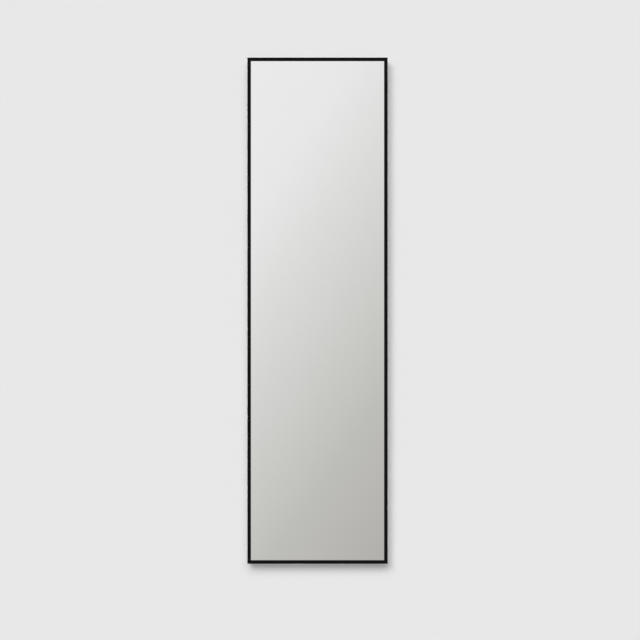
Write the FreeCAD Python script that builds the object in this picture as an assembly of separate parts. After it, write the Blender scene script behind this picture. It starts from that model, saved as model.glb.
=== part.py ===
import FreeCAD, Part

import math
import os

# Pull-out wardrobe mirror, in millimetres.
#
# A tall framed mirror hangs flat against the inside of a cabinet's side panel. Two ball-bearing
# slides carry it out past the front of the cabinet, and two pin hinges on its front edge then
# let it swing round to face whoever stands there.
#
# +Z is up. The back plane y = 0 lies on the side panel, and the glass faces -Y.
# +X is the way the mirror pulls out. The origin is the centre of the four panel screws.
# "Depth" is always the distance in front of the side panel, so y = -depth.

# Mirror and its aluminium frame
MIRROR_WIDTH = 338.0
MIRROR_HEIGHT = 1220.0
FRAME_FACE = 8.0
FRAME_DEPTH = 20.0
FRAME_WALL = 1.5
FRAME_EDGE_RADIUS = 0.5
REAR_FLANGE = 26.0
REAR_FLANGE_THICKNESS = 1.6
BOARD_RIB = 10.0
BOARD_RIB_THICKNESS = 1.4
KEY_NIB = 12.0
KEY_NIB_WIDTH = 1.2
KEY_NIB_HEIGHT = 3.9
MITRE_GAP = 0.05

# Layers of the mirror, from the front lip backwards
GASKET_THICKNESS = 0.8
GLASS_THICKNESS = 4.0
GLASS_EDGE_CHAMFER = 0.6
FILM_THICKNESS = 0.3
TAPE_THICKNESS = 0.8
BOARD_THICKNESS = 3.0
BOARD_PLAY = 0.2
EDGE_PLAY = 1.0
GASKET_WIDTH = 6.9
TAPE_STRIP_WIDTH = 30.0
TAPE_STRIP_COUNT = 3
TAPE_END_MARGIN = 40.0

# Corner keys that join the frame
KEY_LEG = 46.0
KEY_PLAY = 0.1
KEY_SCREW_RADIUS = 2.0
KEY_SCREW_LENGTH = 4.6
KEY_SCREW_SPOTS = (20.0, 36.0)

# Steel rails on the side panel
RAIL_THICKNESS = 2.0
RAIL_WIDTH = 30.0
RAIL_LENGTH = 690.0
RAIL_END_RADIUS = 6.0
PANEL_HOLE_RADIUS = 2.5
PANEL_HOLE_SPACING_X = 224.0
PANEL_HOLE_SPACING_Z = 640.0

# Ball-bearing slides
SLIDE_LENGTH = 300.0
SLIDE_REAR_X = -165.0
SLIDE_SPACING = 512.0
SLIDE_THICKNESS = 12.7
SLIDE_SHEET = 1.2
SLIDE_BEND = 1.8
STAGE_TRAVEL = 150.0
OUTER_FLANGE = 22.25
OUTER_REACH = 8.2
MIDDLE_FLANGE = 18.25
MIDDLE_WEB = 3.0
MIDDLE_REACH = 10.9
INNER_FLANGE = 14.25
INNER_REACH = 5.6
LIP_GAP = 0.35
MIDDLE_SETBACK = 5.0
INNER_SETBACK = 7.0
INNER_FRONT_OVERHANG = 2.0
BALL_RADIUS = 1.6
BALL_CLEARANCE = 0.1
BALL_DEPTHS = {"outer": 4.8, "inner": 7.4}
CAGE_SHEET = 0.6
CAGE_BEND = 1.0
CAGE_LENGTH = SLIDE_LENGTH - STAGE_TRAVEL - INNER_SETBACK - 4.0
CAGE_WEB_DEPTHS = {"outer": 1.8, "inner": 4.5}
CAGE_REACHES = {"outer": 7.2, "inner": 9.8}
BALLS_PER_ROW = 9
BALL_PITCH = 15.0
STOP_GAP = 0.3
STOP_STUD_RADIUS = 1.2
STOP_STUD_HEIGHT = 8.0
RIVET_RADIUS = 2.0
RIVET_HEAD_RADIUS = 3.2
RIVET_STEP = 8.0

# Screw holes, slots and access holes in the webs of the slide members: x, width and height
OUTER_OPENINGS = ((-80, 5, 9), (-48, 12, 5), (-16, 5, 5), (16, 5, 5), (48, 12, 5), (80, 5, 9))
MIDDLE_OPENINGS = ((-80, 13, 13), (0, 13, 13), (80, 13, 13))
INNER_OPENINGS = ((-120, 5, 5), (-88, 12, 5), (-24, 5, 9), (24, 5, 9), (72, 12, 5), (96, 5, 5))

# Uprights that tie the two slides together
UPRIGHT_SHEET = 1.5
UPRIGHT_BEND = 1.75
UPRIGHT_WIDTH = 25.0
UPRIGHT_FLANGE = 7.0
UPRIGHT_LENGTH = 690.0
CAP_HEIGHT = 6.0
CAP_LIP = 1.5

# Hinges between the front upright and the mirror
HINGE_SPACING = 620.0
HINGE_HEIGHT = 50.0
LEAF_THICKNESS = 2.0
BARREL_RADIUS = 5.0
BARREL_GAP = 0.4
PIN_RADIUS = 2.5
FIXED_CLEARANCE = 0.02
RUNNING_CLEARANCE = 0.05
MIRROR_KNUCKLE = 20.0
KNUCKLE_GAP = 1.0
WASHER_THICKNESS = 0.9
BARREL_FROM_EDGE = 9.0
LEAF_NOTCH = 1.0
PIN_HEAD_HEIGHT = 2.5
SPRING_RADIUS = 4.6
SPRING_THICKNESS = 0.6
SPRING_CONE = 0.3
SPRING_STACK = 2 * (SPRING_THICKNESS + SPRING_CONE)
NUT_HEIGHT = 5.0
NUT_COLLAR_HEIGHT = 1.2
NUT_ACROSS_FLATS = 8.0

# Fasteners
SCREW_RADIUS = 2.0
SCREW_HOLE_RADIUS = 2.2
THREAD_HOLE_RADIUS = 2.05
PAN_HEAD_RADIUS = 3.8
PAN_HEAD_HEIGHT = 2.2
FLAT_HEAD_RADIUS = 3.8
NUT_PLATE_THICKNESS = 3.0

# Magnetic catches and rubber rests on the rear upright
CATCH_SPACING = 620.0
CATCH_WIDTH = 20.0
CATCH_HEIGHT = 46.0
CATCH_GAP = 0.5
STRIKE_SIZE = (18.0, 32.0)
STRIKE_THICKNESS = 1.0
CATCH_SCREW_RADIUS = 1.5
CATCH_HEAD_RADIUS = 2.8
CATCH_CONE = 1.6
MAGNET_SIZE = (12.0, 22.0, 3.0)
REST_SIZE = (14.0, 24.0)
REST_SPACING = 300.0
REST_GAP = 0.3

# Depth planes, from the side panel forwards
CARRIAGE_DEPTH = RAIL_THICKNESS + SLIDE_THICKNESS
HINGE_DEPTH = CARRIAGE_DEPTH - LEAF_THICKNESS + BARREL_RADIUS
MIRROR_BACK = HINGE_DEPTH + BARREL_RADIUS + BARREL_GAP
MIRROR_FRONT = MIRROR_BACK + FRAME_DEPTH
CATCH_FRONT = MIRROR_BACK - STRIKE_THICKNESS - CATCH_GAP

# Derived places
HALF_WIDTH = MIRROR_WIDTH / 2
HALF_HEIGHT = MIRROR_HEIGHT / 2
SLIDE_FRONT_X = SLIDE_REAR_X + SLIDE_LENGTH
HINGE_X = HALF_WIDTH - BARREL_FROM_EDGE
MIRROR_LEAF_X = HALF_WIDTH - REAR_FLANGE + 1.5
UPRIGHT_FRONT_X = SLIDE_FRONT_X + INNER_FRONT_OVERHANG - UPRIGHT_WIDTH
GLASS_START = FRAME_WALL + GASKET_THICKNESS
FILM_START = GLASS_START + GLASS_THICKNESS
TAPE_START = FILM_START + FILM_THICKNESS
BOARD_START = TAPE_START + TAPE_THICKNESS
RIB_FRONT = BOARD_START + BOARD_THICKNESS + BOARD_PLAY
RIB_BACK = RIB_FRONT + BOARD_RIB_THICKNESS
FLANGE_FRONT = FRAME_DEPTH - REAR_FLANGE_THICKNESS
SIDES = {"upper": 1, "lower": -1}
HINGE_HEIGHTS = [side * HINGE_SPACING / 2 for side in SIDES.values()]
CATCH_HEIGHTS = [side * CATCH_SPACING / 2 for side in SIDES.values()]
SLIDE_HEIGHTS = [side * SLIDE_SPACING / 2 for side in SIDES.values()]
CATCH_X = SLIDE_REAR_X + UPRIGHT_WIDTH / 2
UPRIGHT_WEB_FRONT = CARRIAGE_DEPTH + UPRIGHT_SHEET

X_AXIS = FreeCAD.Vector(1, 0, 0)
Y_AXIS = FreeCAD.Vector(0, 1, 0)
Z_AXIS = FreeCAD.Vector(0, 0, 1)
ORIGIN = FreeCAD.Vector(0, 0, 0)


# ---------------------------------------------------------------- plain shapes

def at(x, depth, z):
    """The point at x, this far in front of the side panel, at height z."""
    return FreeCAD.Vector(x, -depth, z)


def slab(x_span, depth_span, z_span):
    """A block between two values of x, of depth and of z."""
    (x0, x1), (d0, d1), (z0, z1) = x_span, depth_span, z_span
    return Part.makeBox(x1 - x0, d1 - d0, z1 - z0, at(x0, d1, z0))


def upright_rod(radius, x, depth, z_span):
    """A cylinder along Z."""
    return Part.makeCylinder(radius, z_span[1] - z_span[0], at(x, depth, z_span[0]))


def level_rod(radius, x, z, depth_span):
    """A cylinder along Y."""
    length = depth_span[1] - depth_span[0]
    return Part.makeCylinder(radius, length, at(x, depth_span[1], z), Y_AXIS)


def cone(back_radius, front_radius, x, z, depth_span):
    """A cone along Y, with one radius at the lesser depth and one at the greater."""
    length = depth_span[1] - depth_span[0]
    return Part.makeCone(front_radius, back_radius, length, at(x, depth_span[1], z), Y_AXIS)


def fused(shapes):
    """One shape from several that touch or overlap."""
    return shapes[0].multiFuse(shapes[1:]).removeSplitter()


def bend_arc(before, here, after, radius):
    """Start, middle and end of the arc that rounds the corner at here."""
    back = (before - here).normalize()
    onward = (after - here).normalize()
    half = back.getAngle(onward) / 2
    reach = radius / math.tan(half)
    centre = here + (back + onward).normalize() * (radius / math.sin(half))
    middle = centre + (here - centre).normalize() * radius
    return here + back * reach, middle, here + onward * reach


def prism(corners, place, travel):
    """Extrudes a closed outline of (a, b, corner radius) points; place turns a, b into a point."""
    flat = [FreeCAD.Vector(a, b, 0) for a, b, _ in corners]
    ends = []
    edges = []
    for i, (_, _, radius) in enumerate(corners):
        here = flat[i]
        if radius:
            arc = bend_arc(flat[i - 1], here, flat[(i + 1) % len(flat)], radius)
            start, middle, end = [place(p.x, p.y) for p in arc]
            edges.append(Part.Arc(start, middle, end).toShape())
            ends.append((start, end))
        else:
            spot = place(here.x, here.y)
            ends.append((spot, spot))
    for i, (_, leaving) in enumerate(ends):
        arriving = ends[(i + 1) % len(ends)][0]
        if leaving.distanceToPoint(arriving) > 1e-6:
            edges.append(Part.LineSegment(leaving, arriving).toShape())
    wire = Part.Wire(Part.__sortEdges__(edges))
    return Part.Face(wire).extrude(travel)


def plate(centre, size, depth_span, corner=0):
    """A plate on its face, with rounded corners: centre and size are in x and z."""
    (x, z), (width, height), (back, front) = centre, size, depth_span
    signs = ((1, 1), (-1, 1), (-1, -1), (1, -1))
    outline = [(x + sx * width / 2, z + sz * height / 2, corner) for sx, sz in signs]
    return prism(outline, lambda a, b: at(a, front, b), Y_AXIS * (front - back))


def rim_at(shape, depth):
    """The edges of a shape that lie on one depth plane."""
    return [e for e in shape.Edges if e.BoundBox.YLength < 1e-6 and abs(e.BoundBox.YMin + depth) < 1e-6]


def ends_above(shape, z):
    """The round edges of an upright turned piece that lie above z."""
    return [e for e in shape.Edges if e.Closed and e.BoundBox.ZMin > z]


def hexagon(radius):
    """The six corners of a hexagon, as points of an outline."""
    turns = [math.radians(60 * i) for i in range(6)]
    return [(radius * math.cos(turn), radius * math.sin(turn), 0) for turn in turns]


def bent_sheet(path, thickness):
    """The outline of sheet metal that follows a path of (a, b, bend radius at mid sheet) points."""
    half = thickness / 2
    spots = [FreeCAD.Vector(a, b, 0) for a, b, _ in path]
    runs = [(after - before).normalize() for before, after in zip(spots, spots[1:])]
    left, right = [], []
    for i, (spot, (_, _, radius)) in enumerate(zip(spots, path)):
        arriving, leaving = runs[max(i - 1, 0)], runs[min(i, len(runs) - 1)]
        normals = [FreeCAD.Vector(-run.y, run.x, 0) for run in (arriving, leaving)]
        shift = (normals[0] + normals[1]) * (half / (1 + normals[0].dot(normals[1])))
        turn = arriving.cross(leaving).z
        change = math.copysign(half, turn) if radius else 0.0
        left.append((spot.x + shift.x, spot.y + shift.y, radius - change))
        right.append((spot.x - shift.x, spot.y - shift.y, radius + change))
    return left + right[::-1]


# ---------------------------------------------------------------- fasteners

def pan_screw(x, z, seat, tip):
    """A cross-recess pan-head screw driven towards the panel, its head on the plane at depth seat."""
    top = seat + PAN_HEAD_HEIGHT
    head = level_rod(PAN_HEAD_RADIUS, x, z, (seat, top))
    head = head.makeFillet(PAN_HEAD_HEIGHT * 0.55, rim_at(head, top))
    recess = (top - 1.3, top + 0.1)
    head = head.cut([plate((x, z), (3.8, 0.8), recess), plate((x, z), (0.8, 3.8), recess)])
    return head.fuse(level_rod(SCREW_RADIUS, x, z, (tip, seat)))


def flat_head(face, inner, radius, head_radius, x, z):
    """A countersunk head: full width on the plane at depth face, shank width at depth inner."""
    if face < inner:
        return cone(head_radius, radius, x, z, (face, inner))
    return cone(radius, head_radius, x, z, (inner, face))


def flat_screw(x, z, face, inner, tip, radius=SCREW_RADIUS, head_radius=FLAT_HEAD_RADIUS):
    """A countersunk socket screw from the depth of its face to the depth of its tip."""
    inward = 1 if tip > face else -1
    head = flat_head(face, inner, radius, head_radius, x, z)
    shank = level_rod(radius, x, z, sorted((inner, tip)))
    socket = level_rod(radius * 0.62, x, z, sorted((face - 0.1 * inward, face + 1.2 * inward)))
    return fused([head, shank]).cut(socket)


def countersink(x, z, face, inner, radius=SCREW_RADIUS, head_radius=FLAT_HEAD_RADIUS):
    """The cutter that makes room for a countersunk head."""
    return flat_head(face, inner, radius + RUNNING_CLEARANCE, head_radius + RUNNING_CLEARANCE, x, z)


# ---------------------------------------------------------------- mirror frame

def frame_section():
    """The frame's extrusion: distance in from the outer edge, distance back from the front."""
    wall = FRAME_WALL
    soft = FRAME_EDGE_RADIUS
    return [
        (0, 0, soft),
        (FRAME_FACE, 0, soft),
        (FRAME_FACE, wall, soft),
        (wall, wall, 0),
        (wall, RIB_FRONT, 0),
        (BOARD_RIB, RIB_FRONT, 0),
        (BOARD_RIB, RIB_BACK, 0),
        (wall, RIB_BACK, 0),
        (wall, FLANGE_FRONT, 0),
        (KEY_NIB, FLANGE_FRONT, 0),
        (KEY_NIB, FLANGE_FRONT - KEY_NIB_HEIGHT, 0),
        (KEY_NIB + KEY_NIB_WIDTH, FLANGE_FRONT - KEY_NIB_HEIGHT, 0),
        (KEY_NIB + KEY_NIB_WIDTH, FLANGE_FRONT, 0),
        (REAR_FLANGE, FLANGE_FRONT, soft),
        (REAR_FLANGE, FRAME_DEPTH, soft),
        (0, FRAME_DEPTH, soft),
    ]


def frame_member(half_span, half_length, turn):
    """One mitred side of the frame. It is made on the +X side and turned about Y to its place."""
    def place(inward, back):
        return at(half_span - inward, MIRROR_FRONT - back, -half_length)

    bar = prism(frame_section(), place, Z_AXIS * (2 * half_length))
    reach = REAR_FLANGE + 1
    mitre = [
        (half_span, half_length - MITRE_GAP, 0),
        (half_span, -half_length + MITRE_GAP, 0),
        (half_span - reach, -half_length + reach + MITRE_GAP, 0),
        (half_span - reach, half_length - reach - MITRE_GAP, 0),
    ]
    room = prism(mitre, lambda x, z: at(x, MIRROR_FRONT, z), Y_AXIS * FRAME_DEPTH)
    member = bar.common(room)
    member.rotate(ORIGIN, Y_AXIS, turn)
    return member


def corner_key(side_x, side_z):
    """An L-shaped key that fills the key channel of two frame members at one corner."""
    low = FRAME_WALL + KEY_PLAY
    high = KEY_NIB - KEY_PLAY
    outline = [
        (low, low, 1.0),
        (low + KEY_LEG, low, 0.8),
        (low + KEY_LEG, high, 0.8),
        (high, high, 0),
        (high, low + KEY_LEG, 0.8),
        (low, low + KEY_LEG, 0.8),
    ]

    def place(in_x, in_z):
        front = MIRROR_FRONT - RIB_BACK - KEY_PLAY
        return at(side_x * (HALF_WIDTH - in_x), front, side_z * (HALF_HEIGHT - in_z))

    thickness = FLANGE_FRONT - RIB_BACK - 2 * KEY_PLAY
    key = prism(outline, place, Y_AXIS * thickness)
    for x, z in key_screw_spots(side_x, side_z):
        key = key.cut(level_rod(KEY_SCREW_RADIUS + RUNNING_CLEARANCE, x, z, (MIRROR_BACK, MIRROR_FRONT)))
    return key


def key_screw_spots(side_x, side_z):
    """Where grub screws pass through the rear flange into one corner key."""
    middle = (FRAME_WALL + KEY_NIB) / 2
    spots = []
    for along in KEY_SCREW_SPOTS:
        spots.append((side_x * (HALF_WIDTH - middle), side_z * (HALF_HEIGHT - along)))
        spots.append((side_x * (HALF_WIDTH - along), side_z * (HALF_HEIGHT - middle)))
    return spots


def all_key_screw_spots():
    """Where the grub screws of all four corner keys go."""
    return [spot for sx in (1, -1) for sz in (1, -1) for spot in key_screw_spots(sx, sz)]


def grub_screw(x, z):
    """A socket-head grub screw, level with the back of the frame's rear flange."""
    back = MIRROR_BACK + 0.3
    body = level_rod(KEY_SCREW_RADIUS, x, z, (back, back + KEY_SCREW_LENGTH))
    socket = prism(hexagon(1.15), lambda a, b: at(x + a, back - 0.1, z + b), Y_AXIS * -2.0)
    return body.cut(socket)


def mirror_leaf_screw_spots(hinge_z):
    """Where one mirror leaf is screwed to the frame's rear flange."""
    return [(MIRROR_LEAF_X + FLAT_HEAD_RADIUS + 0.5, hinge_z + step) for step in (-18.0, 0.0, 18.0)]


def frame_members():
    """The four mitred sides, drilled for the key screws and the hinge leaves."""
    members = {
        "frame_front_side": frame_member(HALF_WIDTH, HALF_HEIGHT, 0),
        "frame_rear_side": frame_member(HALF_WIDTH, HALF_HEIGHT, 180),
        "frame_top": frame_member(HALF_HEIGHT, HALF_WIDTH, -90),
        "frame_bottom": frame_member(HALF_HEIGHT, HALF_WIDTH, 90),
    }
    flange = (MIRROR_BACK - 1, MIRROR_BACK + REAR_FLANGE_THICKNESS + 1)
    key_holes = [level_rod(KEY_SCREW_RADIUS + 0.1, x, z, flange) for x, z in all_key_screw_spots()]
    leaf_holes = [
        level_rod(SCREW_HOLE_RADIUS, x, z, flange)
        for hinge_z in HINGE_HEIGHTS
        for x, z in mirror_leaf_screw_spots(hinge_z)
    ]
    return {name: member.cut(key_holes + leaf_holes) for name, member in members.items()}


# ---------------------------------------------------------------- mirror layers

def layer(edge, start, thickness):
    """A sheet of the mirror, edge in from the frame's outside, start back from the frame's front."""
    front = MIRROR_FRONT - start
    x, z = HALF_WIDTH - edge, HALF_HEIGHT - edge
    return slab((-x, x), (front - thickness, front), (-z, z))


def bonding_tape():
    """Upright strips of foam tape between the film and the board."""
    front = MIRROR_FRONT - TAPE_START
    pitch = (MIRROR_WIDTH - 2 * REAR_FLANGE) / TAPE_STRIP_COUNT
    size = (TAPE_STRIP_WIDTH, MIRROR_HEIGHT - 2 * TAPE_END_MARGIN)
    first = -pitch * (TAPE_STRIP_COUNT - 1) / 2
    return Part.makeCompound([
        plate((first + i * pitch, 0), size, (front - TAPE_THICKNESS, front))
        for i in range(TAPE_STRIP_COUNT)])


def gaskets():
    """Four strips under the front lip, butted at the corners."""
    edge = FRAME_WALL + KEY_PLAY
    front = MIRROR_FRONT - FRAME_WALL
    depths = (front - GASKET_THICKNESS, front)
    middle_x = HALF_WIDTH - edge - GASKET_WIDTH / 2
    middle_z = HALF_HEIGHT - edge - GASKET_WIDTH / 2
    tall = (GASKET_WIDTH, MIRROR_HEIGHT - 2 * edge)
    wide = (MIRROR_WIDTH - 2 * (edge + GASKET_WIDTH), GASKET_WIDTH)
    return {
        "gasket_front": plate((middle_x, 0), tall, depths),
        "gasket_rear": plate((-middle_x, 0), tall, depths),
        "gasket_top": plate((0, middle_z), wide, depths),
        "gasket_bottom": plate((0, -middle_z), wide, depths),
    }


def mirror_layers():
    """Glass, safety film, tape and board, one behind the other."""
    edge = FRAME_WALL + EDGE_PLAY
    glass = layer(edge, GLASS_START, GLASS_THICKNESS)
    rims = rim_at(glass, MIRROR_FRONT - GLASS_START) + rim_at(glass, MIRROR_FRONT - FILM_START)
    return {
        "mirror_glass": glass.makeChamfer(GLASS_EDGE_CHAMFER, rims),
        "safety_film": layer(edge + 1, FILM_START, FILM_THICKNESS),
        "bonding_tape": bonding_tape(),
        "backing_board": layer(edge, BOARD_START, BOARD_THICKNESS),
    }


# ---------------------------------------------------------------- slides

def channel_path(web, flange, reach, lip):
    """Mid-sheet path of a slide member: web depth, flange height, depth of the flange's end, lip end."""
    upper = [(web, flange, SLIDE_BEND), (reach, flange, SLIDE_BEND if lip else 0)]
    if lip:
        upper.append((reach, lip, 0))
    return [(depth, -height, bend) for depth, height, bend in upper[::-1]] + upper


def slide_bar(path, thickness, x_span, centre_z):
    """A slide member of this section, along X, on the rails."""
    def place(depth, height):
        return at(x_span[0], RAIL_THICKNESS + depth, centre_z + height)

    return prism(bent_sheet(path, thickness), place, X_AXIS * (x_span[1] - x_span[0]))


def ball_height(stage):
    """Height of a stage's ball rows above the slide's middle: half way between the two flanges."""
    flanges = {"outer": (OUTER_FLANGE, MIDDLE_FLANGE), "inner": (MIDDLE_FLANGE, INNER_FLANGE)}
    return sum(flanges[stage]) / 2


def races(stage, centre_z):
    """Cutters for the two ball grooves of one stage."""
    depth = RAIL_THICKNESS + BALL_DEPTHS[stage]
    cutters = []
    for height in (ball_height(stage), -ball_height(stage)):
        start = at(SLIDE_REAR_X - 10, depth, centre_z + height)
        cutters.append(Part.makeCylinder(BALL_RADIUS + BALL_CLEARANCE, SLIDE_LENGTH + 20, start, X_AXIS))
    return cutters


def web_openings(openings, centre_z):
    """Cutters for the round holes and slots in one member's web."""
    depths = (0, CARRIAGE_DEPTH + 1)
    return [
        plate((x, centre_z), (width, height), depths, min(width, height) / 2)
        for x, width, height in openings]


def slide_members(centre_z):
    """Outer, middle and inner members of one slide."""
    half = SLIDE_SHEET / 2
    outer = slide_bar(
        channel_path(half, OUTER_FLANGE, OUTER_REACH, MIDDLE_FLANGE + half + LIP_GAP),
        SLIDE_SHEET, (SLIDE_REAR_X, SLIDE_FRONT_X), centre_z)
    middle = slide_bar(
        channel_path(MIDDLE_WEB, MIDDLE_FLANGE, MIDDLE_REACH, INNER_FLANGE + half + LIP_GAP),
        SLIDE_SHEET, (SLIDE_REAR_X + MIDDLE_SETBACK, SLIDE_FRONT_X), centre_z)
    inner = slide_bar(
        channel_path(SLIDE_THICKNESS - half, INNER_FLANGE, INNER_REACH, None),
        SLIDE_SHEET, (SLIDE_REAR_X + INNER_SETBACK, SLIDE_FRONT_X + INNER_FRONT_OVERHANG), centre_z)
    stud_holes = stop_studs(centre_z, STOP_STUD_RADIUS + RUNNING_CLEARANCE)
    screw_holes = [level_rod(THREAD_HOLE_RADIUS, x, z, (0, MIRROR_FRONT))
                   for x, z in carriage_screw_spots() if abs(z - centre_z) < OUTER_FLANGE]
    rivet_holes = [rivet_hole(x, z) for x, z in rivet_spots()]
    outer_cuts = stud_holes + rivet_holes + web_openings(OUTER_OPENINGS, centre_z)
    outer = outer.cut(races("outer", centre_z) + outer_cuts)
    middle_cuts = races("inner", centre_z) + web_openings(MIDDLE_OPENINGS, centre_z)
    middle = middle.cut(races("outer", centre_z) + middle_cuts)
    inner = inner.cut(races("inner", centre_z) + screw_holes + web_openings(INNER_OPENINGS, centre_z))
    return outer, middle, inner


def cage_middle(stage):
    """X of the middle of a closed slide's ball cage: the middle of what its two members share."""
    setback = MIDDLE_SETBACK if stage == "outer" else INNER_SETBACK
    return (SLIDE_REAR_X + setback + SLIDE_FRONT_X) / 2


def cage_and_balls(stage, centre_z):
    """The pressed cage of one stage and the balls it holds in two rows."""
    height = ball_height(stage)
    web, reach = CAGE_WEB_DEPTHS[stage], CAGE_REACHES[stage]
    middle = cage_middle(stage)
    path = [(reach, -height, 0), (web, -height, CAGE_BEND), (web, height, CAGE_BEND), (reach, height, 0)]
    cage = slide_bar(path, CAGE_SHEET, (middle - CAGE_LENGTH / 2, middle + CAGE_LENGTH / 2), centre_z)

    depth = RAIL_THICKNESS + BALL_DEPTHS[stage]
    pockets = []
    balls = []
    for i in range(BALLS_PER_ROW):
        x = middle + BALL_PITCH * (i - (BALLS_PER_ROW - 1) / 2)
        for z in (centre_z + height, centre_z - height):
            pockets.append(upright_rod(BALL_RADIUS + BALL_CLEARANCE, x, depth, (z - 1, z + 1)))
            balls.append(Part.makeSphere(BALL_RADIUS, at(x, depth, z)))
    web_depths = (RAIL_THICKNESS + web - 1, RAIL_THICKNESS + web + 1)
    windows = [
        plate((middle + side * CAGE_LENGTH / 4, centre_z), (CAGE_LENGTH / 5, height), web_depths, 3.0)
        for side in (-1, 1)]
    return cage.cut(pockets + windows), Part.makeCompound(balls)


def stop_studs(centre_z, radius):
    """The two studs that hold a slide's rear stop, or with a larger radius their holes."""
    x = SLIDE_REAR_X + (MIDDLE_SETBACK - STOP_GAP) / 2
    web = (RAIL_THICKNESS, RAIL_THICKNESS + SLIDE_SHEET)
    return [level_rod(radius, x, centre_z + step, web) for step in (-STOP_STUD_HEIGHT, STOP_STUD_HEIGHT)]


def slide_stop(centre_z):
    """Moulded stop at the rear end of the outer member, held by two studs through the web."""
    width = MIDDLE_SETBACK - STOP_GAP
    depths = (RAIL_THICKNESS + SLIDE_SHEET, CARRIAGE_DEPTH - 1.5)
    centre = (SLIDE_REAR_X + width / 2, centre_z)
    block = plate(centre, (width, 2 * MIDDLE_FLANGE - 4), depths, 0.6)
    return fused([block] + stop_studs(centre_z, STOP_STUD_RADIUS))


# ---------------------------------------------------------------- panel rails

def rivet_spots():
    """Where rivets join the outer slide members to the rails."""
    return [
        (side_x * PANEL_HOLE_SPACING_X / 2, slide_z + step)
        for side_x in (1, -1)
        for slide_z in SLIDE_HEIGHTS
        for step in (-RIVET_STEP, RIVET_STEP)]


def rivet(x, z):
    """A flush rivet, its countersunk head just under the face of the slide's web."""
    face = RAIL_THICKNESS + SLIDE_SHEET - 0.05
    head = flat_head(face, RAIL_THICKNESS, RIVET_RADIUS, RIVET_HEAD_RADIUS, x, z)
    return fused([head, level_rod(RIVET_RADIUS, x, z, (0.05, RAIL_THICKNESS))])


def rivet_hole(x, z):
    """The cutter for a rivet's hole and the countersink of its head."""
    face = RAIL_THICKNESS + SLIDE_SHEET
    wide = RIVET_HEAD_RADIUS + 2 * RUNNING_CLEARANCE
    narrow = RIVET_RADIUS + FIXED_CLEARANCE
    return fused([
        flat_head(face, RAIL_THICKNESS, narrow, wide, x, z),
        level_rod(narrow, x, z, (-1, RAIL_THICKNESS))])


def panel_rail(centre_x):
    """A flat steel rail on the side panel, with three screw holes and holes for the rivets."""
    rail = plate((centre_x, 0), (RAIL_WIDTH, RAIL_LENGTH), (0, RAIL_THICKNESS), RAIL_END_RADIUS)
    heights = (-PANEL_HOLE_SPACING_Z / 2, 0.0, PANEL_HOLE_SPACING_Z / 2)
    holes = [level_rod(PANEL_HOLE_RADIUS, centre_x, z, (-1, RAIL_THICKNESS + 1)) for z in heights]
    return rail.cut(holes + [rivet_hole(x, z) for x, z in rivet_spots()])


# ---------------------------------------------------------------- carriage

def upright(x0):
    """A U-channel standing on the inner members, open towards the mirror."""
    half = UPRIGHT_SHEET / 2
    web = CARRIAGE_DEPTH + half
    edge = CARRIAGE_DEPTH + UPRIGHT_FLANGE
    left, right = x0 + half, x0 + UPRIGHT_WIDTH - half
    path = [(left, edge, 0), (left, web, UPRIGHT_BEND), (right, web, UPRIGHT_BEND), (right, edge, 0)]

    def place(x, depth):
        return at(x, depth, -UPRIGHT_LENGTH / 2)

    return prism(bent_sheet(path, UPRIGHT_SHEET), place, Z_AXIS * UPRIGHT_LENGTH)


def carriage_screw_spots():
    """Where screws join each upright to each inner member."""
    return [
        (x0 + UPRIGHT_WIDTH / 2, slide_z + step)
        for x0 in (SLIDE_REAR_X, UPRIGHT_FRONT_X)
        for slide_z in SLIDE_HEIGHTS
        for step in (-7.5, 7.5)]


def carriage_leaf_screw_spots():
    """Where screws join the front upright to the carriage leaves."""
    middle = UPRIGHT_FRONT_X + UPRIGHT_WIDTH / 2
    return [
        (middle + dx, hinge_z + dz)
        for hinge_z in HINGE_HEIGHTS
        for dx in (-5.0, 5.0)
        for dz in (-15.0, 15.0)]


def catch_screw_spots():
    """Where screws join the magnet housings to the rear upright."""
    return [(CATCH_X, catch_z + step) for catch_z in CATCH_HEIGHTS for step in (-17.5, 17.5)]


def uprights():
    """Both uprights, drilled for what is screwed to them."""
    web = (CARRIAGE_DEPTH - 1, UPRIGHT_WEB_FRONT + 1)
    clear_spots = carriage_screw_spots() + carriage_leaf_screw_spots()
    clear = [level_rod(SCREW_HOLE_RADIUS, x, z, web) for x, z in clear_spots]
    tapped = [level_rod(CATCH_SCREW_RADIUS + RUNNING_CLEARANCE, x, z, web) for x, z in catch_screw_spots()]
    return {
        "upright_front": upright(UPRIGHT_FRONT_X).cut(clear),
        "upright_rear": upright(SLIDE_REAR_X).cut(clear + tapped),
    }


def end_caps():
    """Plastic plugs in the four open ends of the uprights, each with a lip over the metal."""
    caps = []
    depths = (CARRIAGE_DEPTH, CARRIAGE_DEPTH + UPRIGHT_FLANGE)
    plug_depths = (UPRIGHT_WEB_FRONT + 0.5, depths[1] - 0.2)
    side_gap = UPRIGHT_SHEET + 0.15
    for x0 in (SLIDE_REAR_X, UPRIGHT_FRONT_X):
        x1 = x0 + UPRIGHT_WIDTH
        for end in (1, -1):
            top = end * UPRIGHT_LENGTH / 2
            plug = slab((x0 + side_gap, x1 - side_gap), plug_depths, sorted((top - end * CAP_HEIGHT, top)))
            lip = slab((x0, x1), depths, sorted((top, top + end * CAP_LIP)))
            caps.append(fused([plug, lip.makeFillet(0.6, lip.Edges)]))
    return Part.makeCompound(caps)


# ---------------------------------------------------------------- hinges

def knuckle(hinge_z, low, high):
    """A length of hinge barrel, between two heights from the hinge's middle."""
    return upright_rod(BARREL_RADIUS, HINGE_X, HINGE_DEPTH, (hinge_z + low, hinge_z + high))


def hinge_bore(hinge_z, radius):
    """The cutter for a hinge's bore."""
    half = HINGE_HEIGHT / 2 + 1
    return upright_rod(radius, HINGE_X, HINGE_DEPTH, (hinge_z - half, hinge_z + half))


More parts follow.
